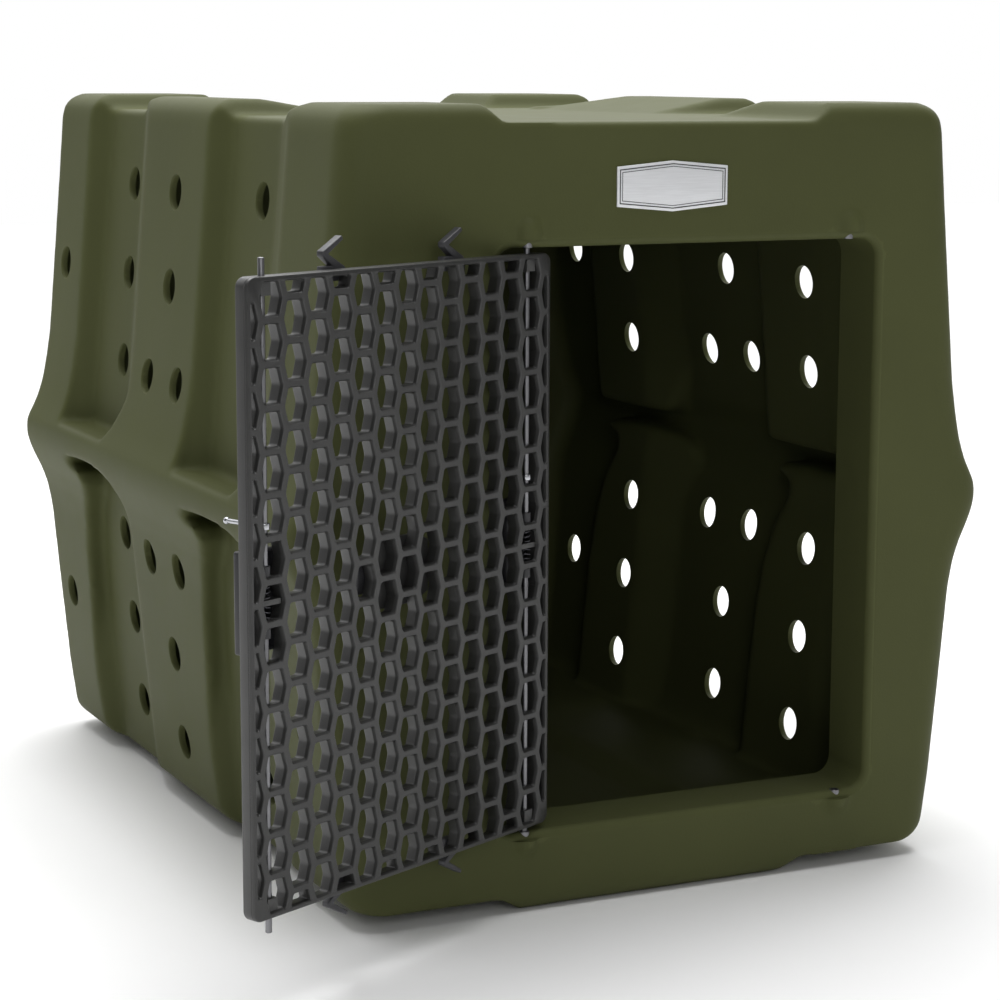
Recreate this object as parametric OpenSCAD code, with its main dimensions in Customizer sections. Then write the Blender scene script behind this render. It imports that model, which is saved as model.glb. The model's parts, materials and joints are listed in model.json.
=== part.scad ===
// Pet transport carrier: one-piece moulded kennel shell with a reversible honeycomb door.
// Units are millimetres. +X is the viewer's right, +Y runs to the rear, +Z is up.
// The origin lies on the underside of the shell, at the centre of its footprint.

/* [Shell] */
// overall height over the stacking blocks
height = 660; // [560:5:760]
// overall length from front face to rear face
length = 784; // [650:2:900]
// wall thickness of the moulded shell
wall = 6; // [4:0.5:8]
// radius of the upright corners
corner_r = 26; // [15:1:45]
// depth of the side grooves
groove_d = 18; // [10:1:24]
// rise of the stacking blocks over the roof channels
block_h = 14; // [8:1:20]
// drop of the centre skid under the side walls
skid_h = 11.7; // [8:0.1:16]

/* [Vents] */
// diameter of the side vent holes
vent_d = 31; // [20:1:40]
// vertical pitch of the vent rows
vent_pitch = 84.5; // [70:0.5:100]

/* [Doorway] */
// width of the doorway
way_w = 356; // [300:1:420]
// height of the doorway
way_h = 479; // [400:1:540]
// height of the doorway sill over the ground
way_z = 68; // [50:1:90]
// sideways shift of the doorway from the shell's centre
way_x = 28; // [0:1:40]
// depth of the jamb that lines the doorway
jamb_d = 57; // [30:1:80]

/* [Door] */
// width of the door
door_w = 345; // [290:1:410]
// height of the door
door_h = 470; // [390:1:530]
// thickness of the door, both halves together
door_t = 12.5; // [12:0.5:20]
// distance of the pins from the door's side edges
pin_in = 22; // [16:1:30]
// diameter of the steel pins
pin_d = 5; // [4:0.5:8]
// free length of a pin beyond the door's edge
pin_out = 13; // [8:0.5:16]
// width of the honeycomb ribs
rib = 5.4; // [3:0.1:7]
// opening angle of the door as shown
open_deg = 154.5; // [0:0.5:154.5]

/* [Hidden] */
L2 = length / 2;
crest_z = 322;
door_cx = way_x;
door_cz = way_z + way_h / 2;
dz0 = door_cz - door_h / 2;
dz1 = door_cz + door_h / 2;
dx0 = door_cx - door_w / 2;
dx1 = door_cx + door_w / 2;
pin_y = 5;
hinge_x = dx0 + pin_in;
latch_x = dx1 - pin_in;
run_fit = 0.06;
slide_travel = 10.5;
cover_t = 9;
// share of the thickness that is the outer half, which holds the rods
outer_t = 9.5;
knob_z = 55.5;
clip_dx = 68;
row_q = door_h / 15;
col_p = door_w / 14;

// half width of the shell at height z
w_tab = [[0, 262], [11.7, 262], [15.5, 271], [24, 278.5], [70, 285], [154, 293], [238, 300.5],
    [262, 305], [280, 311.5], [292, 317.5], [304, 322.5], [313, 325], [322, 325.5], [331, 324.5],
    [340, 319.5], [352, 313.5], [370, 307.5], [392, 303], [420, 298.5], [577, 284.5],
    [638, 279.5], [648, 277], [655, 271.5], [660, 262]];
// half length of the shell at height z
y_tab = [[0, L2 - 10], [4, L2 - 3], [12, L2], [646, L2], [655, L2 - 3], [660, L2 - 10]];
z_all = [0, 4, 12, 15.5, 24, 70, 154, 238, 262, 280, 292, 304, 313, 322, 331, 340, 352, 370,
    392, 420, 577, 638, 646, 648, 655, 660];
z_in = [17.7, 30, 70, 154, 238, 262, 292, 313, 331, 352, 392, 420, 577, 636, 654];

function hw(z) = lookup(z, w_tab);
function hy(z) = lookup(z, y_tab);

// plan ring of the shell at height z, drawn in by e; four points turn each corner
function ring(z, e) = [for (q = [0:3], k = [0:3]) let (a = 90 * q + 22.5 * k + 11.25,
    sx = (q == 0 || q == 3) ? 1 : -1, sy = q < 2 ? 1 : -1, r = (corner_r - e) / cos(11.25))
    [sx * (hw(z) - corner_r) + r * cos(a), sy * (hy(z) - corner_r) + r * sin(a), z]];

module ring_solid(zs, e) {
    n = len(zs) - 1;
    polyhedron(points = [for (z = zs, p = ring(z, e)) p], faces = concat(
        [[for (i = [0:15]) i]], [[for (i = [15:-1:0]) 16 * n + i]],
        [for (k = [0:n - 1], i = [0:15]) [16 * k + i, 16 * k + 16 + i, 16 * k + 16 + (i + 1) % 16]],
        [for (k = [0:n - 1], i = [0:15])
            [16 * k + i, 16 * k + 16 + (i + 1) % 16, 16 * k + (i + 1) % 16]]));
}

module long_prism(pts) {
    rotate([90, 0, 0]) translate([0, 0, -600]) linear_extrude(1200) polygon(pts);
}

module shell_outer() {
    difference() {
        ring_solid(z_all, 0);
        // the side walls stand higher than the centre skid
        for (s = [0, 1]) mirror([s, 0, 0])
            long_prism([[124, -10], [124, 0], [143, skid_h], [400, skid_h], [400, -10]]);
        // centre roof between the side rails
        long_prism([[-159, height + 1], [-158, height], [-144, height - block_h],
            [144, height - block_h], [158, height], [159, height + 1]]);
    }
}

module shell_inner() {
    difference() {
        ring_solid(z_in, wall);
        long_prism([[-161, 656], [-160, 654], [-147, 640], [147, 640], [160, 654], [161, 656]]);
    }
    translate([0, 0.5, 0]) rotate([90, 0, 0]) translate([0, 0, -379]) linear_extrude(758)
        polygon([[-126, 6], [126, 6], [141, 17.6], [141, 24], [-141, 24], [-141, 17.6]]);
}

// plan outline of a groove: steep rear wall at yr, flat floor, long ramp forward to yf
module groove_plan(yr, yf, e) {
    ramp = 61;
    polygon([[-60, yr + 1.2 * e], [0, yr + 1.2 * e], [groove_d + e, yr - 16 + 0.8 * e],
        [groove_d + e, yf + ramp - 0.14 * e], [0, yf - 3.52 * e], [-60, yf - 3.52 * e]]);
}

// side view outline of the upper pocket, ends on the ridge
module upper_outline(yr, yf, e) {
    polygon([[yr + 30, 720], [yr + 30, 337 - e], [yf + 41 - 0.6 * e, 337 - e],
        [yf + 27 - 0.8 * e, 350 - e], [yf + 18 - e, 364 - e], [yf + 6 - e, 380 - e],
        [yf - 1 - 2 * e, 395 - e], [yf - 4 * e - 1, 432 - e], [yf - 4 * e - 5, 720]]);
}

// side view outline of the lower groove, starts at a point under the ridge
module lower_outline(yr, yf, e) {
    polygon([[yr + 30, -30], [yr + 30, 55], [yr + 2 + e, 75], [yr - 12 + e, 152],
        [yr - 20 + e, 211], [yr - 32 + e, 251], [yr - 44 + e, 268], [yr - 56 + e, 283],
        [yr - 53 + e, 294], [yr - 34 + e, 301], [yr - 4 + e, 305], [yr - 10 + 0.5 * e, 307.5 + 0.8 * e],
        [yr - 91, 310 + e], [yf + 60, 309.5 + e], [yf + 34, 306 + e], [yf + 10, 299 + e],
        [yf - 1 - e, 288 + e], [yf - 3 * e - 2, 274 + e], [yf - 4 * e, 238 + e],
        [yf - 4 * e - 4, -30]]);
}

// one groove pair on the +X side; y values are measured from the front face
module groove_side(yr, yf, e) {
    intersection() {
        translate([hw(500), -L2, 500]) rotate([0, -5.05, 0]) translate([0, 0, -400])
            mirror([1, 0, 0]) linear_extrude(800) groove_plan(yr, yf, e);
        translate([200, -L2, 0]) rotate([90, 0, 90]) linear_extrude(260) upper_outline(yr, yf, e);
    }
    intersection() {
        translate([hw(154), -L2, 154]) rotate([0, 5.4, 0]) translate([0, 0, -400])
            mirror([1, 0, 0]) linear_extrude(800) groove_plan(yr, yf, e);
        translate([200, -L2, 0]) rotate([90, 0, 90]) linear_extrude(260) lower_outline(yr, yf, e);
    }
}

module grooves(e) {
    for (s = [0, 1]) mirror([s, 0, 0]) {
        groove_side(664, 484, e);
        groove_side(312, 122, e);
    }
}

// channels across the roof in line with the grooves
module roof_channels(e) {
    translate([-400, -L2, 0]) rotate([90, 0, 90]) linear_extrude(800) {
        polygon([[664 + e, 700], [664 + e, 661], [652 + e, 646 - e], [560 - e, 646 - e],
            [500 - e, 661], [500 - e, 700]]);
        polygon([[312 + e, 700], [312 + e, 661], [300 + e, 646 - e], [172 - e, 646 - e],
            [118 - e, 661], [118 - e, 700]]);
    }
    // the middle blocks fade out toward the centre
    for (s = [0, 1]) mirror([s, 0, 0]) translate([0, -L2 + 240, 0]) rotate([90, 0, 0])
        translate([0, 0, -300]) linear_extrude(300)
            polygon([[0, 700], [0, 646 - e], [150, 646 - e], [232, 660.5 - e], [232, 700]]);
}

module rounded_slab(w, h, r, d) {
    rotate([90, 0, 0]) translate([0, 0, -d]) linear_extrude(d) {
        translate([-w / 2 + r, -h / 2]) square([w - 2 * r, h]);
        translate([-w / 2, -h / 2 + r]) square([w, h - 2 * r]);
        for (x = [-1, 1], z = [-1, 1])
            translate([x * (w / 2 - r), z * (h / 2 - r)]) circle(r = r, $fn = 40);
    }
}

// vent columns [distance from the front face, rows]
vents = [[719, [2, 5]], [567, [1, 2, 3, 4, 5, 6]], [391, [1, 2, 5, 6]], [434, [3, 4]],
    [352, [3, 4]], [216, [1, 2, 3, 4, 5, 6]], [62, [2, 5]]];
function row_z(r) = r < 4 ? crest_z + vent_pitch * (4 - r) : crest_z - vent_pitch * (r - 3);

module vent_cuts() {
    for (v = vents, r = v[1], s = [-400, 230]) translate([s, v[0] - L2, row_z(r) + 1])
        rotate([0, 90, 0]) cylinder(d = vent_d, h = 170, $fn = 48);
    for (x = [-135, -45, 45, 135], z = [255, 410]) translate([x, L2 - 40, z])
        rotate([-90, 0, 0]) cylinder(d = vent_d, h = 80, $fn = 48);
}

module socket_bosses() {
    for (x = [hinge_x, latch_x]) {
        translate([x, pin_y - L2, way_z + way_h - 2]) cylinder(r = 12, h = 15, $fn = 48);
        translate([x, pin_y - L2, way_z + way_h + 13]) sphere(r = 12, $fn = 48);
        translate([x, pin_y - L2, way_z - 8]) cylinder(r = 12, h = 10, $fn = 48);
        translate([x, pin_y - L2, way_z - 8]) sphere(r = 12, $fn = 48);
    }
}

module body_shell() {
    color("#565b38") difference() {
        union() {
            difference() {
                shell_outer();
                grooves(0);
                roof_channels(0);
                difference() {
                    shell_inner();
                    grooves(wall);
                    roof_channels(wall);
                }
            }
            // jamb liner of the doorway
            translate([way_x, -L2, door_cz]) rounded_slab(way_w + 12, way_h + 12, 22, jamb_d);
            socket_bosses();
        }
        translate([way_x, -L2 - 1, door_cz]) rounded_slab(way_w, way_h, 16, jamb_d + 2);
        translate([way_x - way_w / 2 - 20, -L2 - 20, way_z])
            cube([way_w + 40, 20, way_h]);
        vent_cuts();
        for (x = [hinge_x, latch_x]) {
            translate([x, pin_y - L2, way_z + way_h - 1]) cylinder(r = 4.5, h = 14, $fn = 36);
            translate([x, pin_y - L2, way_z - 13]) cylinder(r = 4.5, h = 14, $fn = 36);
        }
    }
}

// hexagonal name plate outline with a slight peak above and below
module plate_outline(k) {
    polygon([[-51 + k, -16 + k], [0, -20.5 + k], [51 - k, -16 + k], [51 - k, 16 - k],
        [0, 20.5 - k], [-51 + k, 16 - k]]);
}

module badge_plate() {
    color("#d9dcda") translate([6, -L2, 594]) rotate([90, 0, 0])
        linear_extrude(1.4) plate_outline(0);
}

module badge_border() {
    color("#5b5f61") translate([6, -L2 - 1.4, 594]) rotate([90, 0, 0])
        linear_extrude(0.5) difference() {
            plate_outline(2.2);
            plate_outline(3.2);
        }
}

// steel bush pressed into the jamb; it takes one door pin
module socket(x, z, up) {
    color("#9a9c9e") translate([x, pin_y - L2, z]) mirror([0, 0, up ? 0 : 1]) difference() {
        translate([0, 0, 0]) cylinder(r = 4.5, h = 12, $fn = 36);
        translate([0, 0, -1]) cylinder(r = pin_d / 2 + run_fit, h = 11, $fn = 36);
    }
}
module socket_hinge_top() { socket(hinge_x, way_z + way_h, true); }
module socket_hinge_bottom() { socket(hinge_x, way_z, false); }
module socket_latch_top() { socket(latch_x, way_z + way_h, true); }
module socket_latch_bottom() { socket(latch_x, way_z, false); }

// swings a closed-door shape about the hinge pins to the shown opening
module door_place() {
    translate([hinge_x, pin_y - L2, 0]) rotate([0, 0, -open_deg])
        translate([-hinge_x, -pin_y, 0]) children();
}

// honeycomb net: full cells in odd columns, half cells at the ends of the even ones
hx_a = 7.7;
hx_b = 11.4;
hx_h = row_q / 2 - rib / 2;
edge_w = 4;
function cell(k, zc) = [for (p = [[-hx_a, -hx_h], [hx_a, -hx_h], [hx_b, 0], [hx_a, hx_h],
    [-hx_a, hx_h], [-hx_b, 0]]) [min(max(dx0 + k * col_p + p[0], dx0 + edge_w), dx1 - edge_w),
    min(max(dz0 + zc + p[1], dz0 + edge_w), dz1 - edge_w)]];
function half_cell_low(k) = [for (p = [[-hx_b + 1.1, edge_w], [hx_b - 1.1, edge_w],
    [hx_a, hx_h], [-hx_a, hx_h]]) [dx0 + k * col_p + p[0], dz0 + p[1]]];
function half_cell_high(k) = [for (p = half_cell_low(k)) [p[0], dz1 + dz0 - p[1]]];
function side_cell(k, zc) = k == 0 ?
    [for (p = [[edge_w, -hx_h], [hx_a, -hx_h], [hx_b, 0], [hx_a, hx_h], [edge_w, hx_h]])
        [dx0 + p[0], dz0 + zc + p[1]]] :
    [for (p = [[-edge_w, -hx_h], [-edge_w, hx_h], [-hx_a, hx_h], [-hx_b, 0], [-hx_a, -hx_h]])
        [dx1 + p[0], dz0 + zc + p[1]]];
cells = concat(
    [for (k = [1:2:13], i = [0:14]) cell(k, (i + 0.5) * row_q)],
    [for (k = [2:2:12], i = [1:14]) cell(k, i * row_q)],
    [for (k = [2:2:12]) half_cell_low(k)],
    [for (k = [2:2:12]) half_cell_high(k)],
    [for (k = [0, 14], i = [1:14]) side_cell(k, i * row_q)]);
rim = concat([for (c = [[1, 1, 0], [-1, 1, 90], [-1, -1, 180], [1, -1, 270]], a = [0:15:90])
    [door_cx + c[0] * (door_w / 2 - 8) + 8 * cos(a + c[2]),
     door_cz + c[1] * (door_h / 2 - 8) + 8 * sin(a + c[2])]]);
net_pts = concat(rim, [for (c = cells, p = c) p]);
function starts(i) = i == 0 ? len(rim) : starts(i - 1) + len(cells[i - 1]);
function run_sum(v, i, s) = i == len(v) ? [] : concat([s], run_sum(v, i + 1, s + len(v[i])));
offs = run_sum(cells, 0, len(rim));
net_paths = concat([[for (i = [0:len(rim) - 1]) i]],
    [for (j = [0:len(cells) - 1]) [for (i = [0:len(cells[j]) - 1]) offs[j] + i]]);

module net(y0, y1) {
    translate([0, y1, 0]) rotate([90, 0, 0]) linear_extrude(y1 - y0)
        polygon(points = net_pts, paths = net_paths);
}

module rod_bores(r) {
    for (x = [hinge_x, latch_x]) translate([x, pin_y, dz0 - 5])
        cylinder(r = r, h = door_h + 10, $fn = 36);
}

module door_outer_half() {
    color("#46474b") door_place() {
        difference() {
            net(0, outer_t);
            rod_bores(pin_d / 2 + run_fit);
            // room behind each cover for the slides and springs
            for (x = [hinge_x, latch_x], z = [2, -34]) translate([x - 8, -1, door_cz + z])
                cube([16, outer_t + 3, 32]);
            // slots in which the pulls travel with the upper rods
            for (x = [hinge_x, latch_x]) translate([x - 4.7, -1, door_cz + 41.5])
                cube([9.4, outer_t + 1.02, 17]);
        }
        for (x = [hinge_x, latch_x]) translate([x - 12, 0, door_cz - 2])
            cube([24, outer_t, 4]);
        // guide blocks for the rods at the corners
        for (x = [hinge_x, latch_x], z = [dz0 + 4, dz1 - 14]) difference() {
            translate([x - 5, 0, z]) cube([10, outer_t, 10]);
            translate([x, pin_y, z - 1]) cylinder(r = pin_d / 2 + run_fit, h = 12, $fn = 36);
        }
    }
}

module door_inner_half() {
    color("#46474b") door_place() net(outer_t, door_t);
}

// springy chevron that stands in front of the doorway edge and stops the door
module clip(x, top, flip) {
    color("#3b3c40") door_place()
        translate([x, 0, top ? dz1 : dz0]) mirror([0, 0, top ? 0 : 1])
            mirror([flip ? 1 : 0, 0, 0]) rotate([90, 0, 0]) translate([0, 0, 0.6])
                linear_extrude(7) polygon([[-12, -9], [12, -9], [12, 1], [-6, 11], [10, 21],
                    [8.5, 24], [-12, 13], [-12, 9.5], [-2, 2], [-12, 2]]);
    color("#3b3c40") door_place()
        translate([x - 12, -0.7, top ? dz1 - 9 : dz0 + 5.2]) cube([24, 0.7, 3.8]);
}
module clip_top_hinge() { clip(door_cx - clip_dx, true, true); }
module clip_top_latch() { clip(door_cx + clip_dx, true, true); }
module clip_bottom_hinge() { clip(door_cx - clip_dx, false, true); }
module clip_bottom_latch() { clip(door_cx + clip_dx, false, true); }

// plain plate on the outer face, over the middle cells
module centre_plate() {
    color("#5a5b60") door_place() translate([door_cx, 0, door_cz]) rotate([90, 0, 0])
        linear_extrude(3) polygon([[-36, -20], [-22, -27], [22, -27], [36, -20], [36, 20],
            [22, 27], [-22, 27], [-36, 20]]);
}

module centre_lugs() {
    color("#2e2f32") door_place() for (s = [-1, 1])
        translate([door_cx + s * 41 - 5, -3, door_cz - 12]) cube([10, 3, 24]);
}

// box on the outer face that carries the two sprung slides of one side
module cover(x, left, right) {
    color("#333438") door_place() difference() {
        translate([x - left, -cover_t, door_cz - 38]) cube([left + right, cover_t, 76]);
        translate([x - left + 2.5, 2 - cover_t, door_cz - 35.5])
            cube([left + right - 5, cover_t + 0.1, 71]);
        for (z = [-28, 8]) translate([x - 3.1, -20, door_cz + z]) cube([6.2, 14, 20]);
    }
}
module latch_cover() { cover(latch_x, 16, 18); }
module hinge_cover() { cover(hinge_x, 17, 16); }

module cover_screws(x) {
    color("#c9cbcd") door_place() for (s = [-1, 1])
        translate([x + 9.5, 0, door_cz + s * 31]) rotate([90, 0, 0]) {
            translate([0, 0, cover_t]) cylinder(r = 2.9, h = 1.4, $fn = 30);
        }
}
module latch_cover_screws() { cover_screws(latch_x); }
module hinge_cover_screws() { cover_screws(hinge_x); }

// steel rod from the cover to beyond the door's edge
module rod(x, up) {
    color("#b9bbbd") door_place() translate([x, pin_y, up ? door_cz + 16 : dz0 - pin_out])
        cylinder(r = pin_d / 2, h = door_h / 2 + pin_out - 16, $fn = 36);
}
module rod_latch_upper() { rod(latch_x, true); }
module rod_latch_lower() { rod(latch_x, false); }
module rod_hinge_upper() { rod(hinge_x, true); }
module rod_hinge_lower() { rod(hinge_x, false); }

// moulded finger slide gripped on the inner end of a rod
module slide(x, up) {
    color("#232427") door_place() translate([x, 0, door_cz]) mirror([0, 0, up ? 0 : 1]) {
        difference() {
            union() {
                translate([-6, -6.2, 18.5]) cube([12, 5.6, 8]);
                translate([-2.6, -13, 19.5]) cube([5.2, 7.4, 6]);
                translate([-3, -1, 18.5]) cube([6, 4, 8]);
                translate([0, pin_y, 18.5]) cylinder(r = 4.2, h = 8, $fn = 36);
            }
            translate([0, pin_y, 10]) cylinder(r = pin_d / 2, h = 30, $fn = 36);
        }
    }
}
module slide_latch_upper() { slide(latch_x, true); }
module slide_latch_lower() { slide(latch_x, false); }
module slide_hinge_upper() { slide(hinge_x, true); }
module slide_hinge_lower() { slide(hinge_x, false); }

// bright ball-ended pull, clamped on the upper rod; len is measured from the door's outer face
module knob(x, len) {
    color("#d2d4d6") door_place() translate([x, pin_y, door_cz + knob_z]) {
        difference() {
            union() {
                translate([0, 0, -2.5]) cylinder(r = 4.2, h = 5, $fn = 36);
                rotate([90, 0, 0]) cylinder(r = 1.7, h = pin_y + len - 2, $fn = 30);
            }
            translate([0, 0, -9]) cylinder(r = pin_d / 2, h = 18, $fn = 36);
        }
        translate([0, -pin_y - len + 2.6, 0]) sphere(r = 2.6, $fn = 30);
    }
}
module knob_latch() { knob(latch_x, 35); }
module knob_hinge() { knob(hinge_x, 14); }

// compression spring on the rod, between its slide and the cover's far end
module spring(x, up) {
    color("#a5a7a9") door_place() translate([x, pin_y, door_cz]) mirror([0, 0, up ? 0 : 1])
        translate([0, 0, 2.1]) linear_extrude(16.2, twist = -1440, slices = 60)
            translate([3.6, 0]) circle(r = 0.5, $fn = 8);
}
module spring_latch_upper() { spring(latch_x, true); }
module spring_latch_lower() { spring(latch_x, false); }
module spring_hinge_upper() { spring(hinge_x, true); }
module spring_hinge_lower() { spring(hinge_x, false); }

body_shell();
badge_plate();
badge_border();
socket_hinge_top();
socket_hinge_bottom();
socket_latch_top();
socket_latch_bottom();
door_outer_half();
door_inner_half();
clip_top_hinge();
clip_top_latch();
clip_bottom_hinge();
clip_bottom_latch();
centre_plate();
centre_lugs();
latch_cover();
hinge_cover();
latch_cover_screws();
hinge_cover_screws();
rod_latch_upper();
rod_latch_lower();
slide_latch_upper();
slide_latch_lower();
rod_hinge_upper();
rod_hinge_lower();
slide_hinge_upper();
slide_hinge_lower();
knob_latch();
knob_hinge();
spring_latch_upper();
spring_latch_lower();
spring_hinge_upper();
spring_hinge_lower();
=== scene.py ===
import json
import math
import bmesh
import bpy
import numpy as np
from mathutils import Matrix, Vector
from mathutils.bvhtree import BVHTree


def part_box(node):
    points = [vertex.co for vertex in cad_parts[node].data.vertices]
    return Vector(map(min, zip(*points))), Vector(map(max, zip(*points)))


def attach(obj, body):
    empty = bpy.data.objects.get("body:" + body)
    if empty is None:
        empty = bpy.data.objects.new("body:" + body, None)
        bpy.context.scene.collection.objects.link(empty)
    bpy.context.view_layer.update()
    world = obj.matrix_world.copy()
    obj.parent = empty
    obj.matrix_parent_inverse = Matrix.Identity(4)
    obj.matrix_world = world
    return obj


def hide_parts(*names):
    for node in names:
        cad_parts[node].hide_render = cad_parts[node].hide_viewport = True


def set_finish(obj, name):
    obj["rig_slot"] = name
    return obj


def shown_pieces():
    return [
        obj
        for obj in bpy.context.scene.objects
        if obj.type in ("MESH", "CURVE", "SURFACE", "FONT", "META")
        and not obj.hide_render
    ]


# Pet transport carrier: olive moulded shell, honeycomb door, sprung rods and a blank name plate.
# Shapes are in millimetres and MM turns them into metres. Shell shapes are in the shared frame. Door
# shapes are drawn closed, with y = 0 on the door's outer face, and place() swings them open.
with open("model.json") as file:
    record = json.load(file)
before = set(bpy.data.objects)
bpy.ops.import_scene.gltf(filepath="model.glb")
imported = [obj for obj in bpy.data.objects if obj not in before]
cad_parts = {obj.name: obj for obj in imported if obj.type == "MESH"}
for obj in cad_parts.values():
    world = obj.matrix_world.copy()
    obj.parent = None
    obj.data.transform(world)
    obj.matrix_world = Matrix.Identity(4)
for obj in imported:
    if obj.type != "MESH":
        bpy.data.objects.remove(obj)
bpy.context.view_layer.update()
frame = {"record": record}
MM = 0.001

# ---------------------------------------------------------------- places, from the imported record
joints = {j["name"]: j for j in frame["record"]["behaviour"]["joints"]}
HINGE_X, HINGE_Y, DOOR_Z = [v / MM for v in joints["door_hinge"]["pos_m"]]
OPEN = joints["door_hinge"]["range_deg"][1]
shell_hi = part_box("body_shell")[1]
HALF_L, TOP = shell_hi.y / MM, shell_hi.z / MM
WALL, CORNER_R, GROOVE_D, BLOCK_H, SKID_H = 6.0, 26.0, 18.0, 14.0, 11.7
CREST = 322.0
VENT_R, VENT_PITCH = 15.5, 84.5
REAR_VENT_X, REAR_VENT_Z = (-135, -45, 45, 135), (255, 410)
WAY_X, WAY_W, WAY_H, WAY_Z, WAY_R = 28.0, 356.0, 479.0, 68.0, 16
WAY_TOP, WAY_MID = WAY_Z + WAY_H, WAY_Z + WAY_H / 2
LIP, JAMB_T, JAMB_D = 6.5, 6, 57
SOCKET_R, SOCKET_L = 4.5, 12
DOOR_W, DOOR_H, DOOR_T, DOOR_R, OUTER_T = 345.0, 470.0, 12.5, 8, 9.5
PIN_IN, PIN_OUT, PIN_R = 22.0, 13.0, 2.5
FAR = 600
PIN_Y = HINGE_Y + HALF_L
DX0 = HINGE_X - PIN_IN
DX1 = DX0 + DOOR_W
DZ0, DZ1 = DOOR_Z - DOOR_H / 2, DOOR_Z + DOOR_H / 2
DOOR_X = (DX0 + DX1) / 2
LATCH_X = DX1 - PIN_IN
PINS = (("latch", LATCH_X), ("hinge", HINGE_X))
hinge_at = Matrix.Translation((HINGE_X * MM, HINGE_Y * MM, 0))
door_matrix = (hinge_at @ Matrix.Rotation(math.radians(-OPEN), 4, "Z") @ hinge_at.inverted()
               @ Matrix.Translation((0, -HALF_L * MM, 0)))


# ---------------------------------------------------------------- mesh helpers
def link_new(name, me):
    o = bpy.data.objects.new(name, me)
    bpy.context.scene.collection.objects.link(o)
    return o


def new_obj(name, verts, faces, scale=MM):
    """Mesh object with its normals pointing outwards."""
    points = [tuple(float(c) * scale for c in v) for v in verts]
    me = bpy.data.meshes.new(name)
    me.from_pydata(points, [], [tuple(map(int, f)) for f in faces])
    me.update()
    o = link_new(name, me)
    bm = bmesh.new()
    bm.from_mesh(me)
    bmesh.ops.recalc_face_normals(bm, faces=bm.faces)
    bm.to_mesh(me)
    bm.free()
    return o


def loft_mesh(rings, first=0):
    """Points and faces of a closed solid through rings of equal length; first offsets the indices."""
    n, last = len(rings[0]), first + (len(rings) - 1) * len(rings[0])
    verts = [p for r in rings for p in r]
    faces = [tuple(range(first, first + n)), tuple(last + i for i in range(n - 1, -1, -1))]
    for k in range(len(rings) - 1):
        a, b = first + k * n, first + (k + 1) * n
        for i in range(n):
            j = (i + 1) % n
            faces.append((a + i, b + i, b + j, a + j))
    return verts, faces


def loft(name, rings):
    return new_obj(name, *loft_mesh(rings))


def drop(o):
    me = o.data
    bpy.data.objects.remove(o, do_unlink=True)
    if me.users == 0:
        bpy.data.meshes.remove(me)


def join(name, objs):
    """One mesh from several; the sources are removed."""
    bm = bmesh.new()
    for o in objs:
        part = bmesh.new()
        part.from_mesh(o.data)
        part.transform(o.matrix_world)
        tmp = bpy.data.meshes.new("t")
        part.to_mesh(tmp)
        part.free()
        bm.from_mesh(tmp)
        bpy.data.meshes.remove(tmp)
    me = bpy.data.meshes.new(name)
    bm.to_mesh(me)
    bm.free()
    for o in objs:
        drop(o)
    return link_new(name, me)


def bake(o):
    """Applies the modifiers."""
    bpy.context.view_layer.update()
    dg = bpy.context.evaluated_depsgraph_get()
    me = bpy.data.meshes.new_from_object(o.evaluated_get(dg))
    o.modifiers.clear()
    old = o.data
    o.data = me
    me.name = o.name
    bpy.data.meshes.remove(old)
    return o


def boolean(a, b, op="DIFFERENCE"):
    m = a.modifiers.new("b", "BOOLEAN")
    m.operation, m.object, m.solver = op, b, "MANIFOLD"
    bake(a)
    drop(b)
    return a


def mirrored(o, name):
    """Copy on the other side of the plane x = 0."""
    me = o.data.copy()
    me.transform(Matrix.Scale(-1, 4, (1, 0, 0)))
    me.flip_normals()
    return link_new(name, me)


def relax(o, n, weight=None):
    """Rounds a dense mesh: n steps of moving each vertex halfway to its neighbours' mean."""
    me = o.data
    co = np.empty(len(me.vertices) * 3)
    me.vertices.foreach_get("co", co)
    co = co.reshape(-1, 3)
    edges = np.empty(len(me.edges) * 2, int)
    me.edges.foreach_get("vertices", edges)
    e0, e1 = edges.reshape(-1, 2).T
    count = np.maximum(np.bincount(edges, minlength=len(co)), 1)[:, None]
    w = 0.5 if weight is None else 0.5 * weight(co / MM)[:, None]
    for _ in range(n):
        total = np.stack([np.bincount(e0, co[e1, k], len(co)) + np.bincount(e1, co[e0, k], len(co))
                          for k in range(3)], 1)
        co += w * (total / count - co)
    me.vertices.foreach_set("co", co.ravel())
    me.update()


def voxel(o, size):
    """Remeshes a solid in even steps, ready for relax()."""
    m = o.modifiers.new("r", "REMESH")
    m.mode, m.voxel_size, m.use_smooth_shade = "VOXEL", size * MM, True
    return bake(o)


def smooth(o, angle=35):
    """Smooth shading, with edges over the angle kept sharp."""
    me = o.data
    me.polygons.foreach_set("use_smooth", [True] * len(me.polygons))
    me.set_sharp_from_angle(angle=math.radians(angle))
    me.update()
    return o


def bevel(o, width, segs=3, angle=30):
    m = o.modifiers.new("v", "BEVEL")
    m.width, m.segments = width * MM, segs
    m.limit_method, m.angle_limit = "ANGLE", math.radians(angle)
    m.harden_normals = False
    bake(o)
    return smooth(o, 40)


def turn(n):
    """n angles round a full circle."""
    return np.linspace(0, 2 * math.pi, n, endpoint=False)


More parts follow.
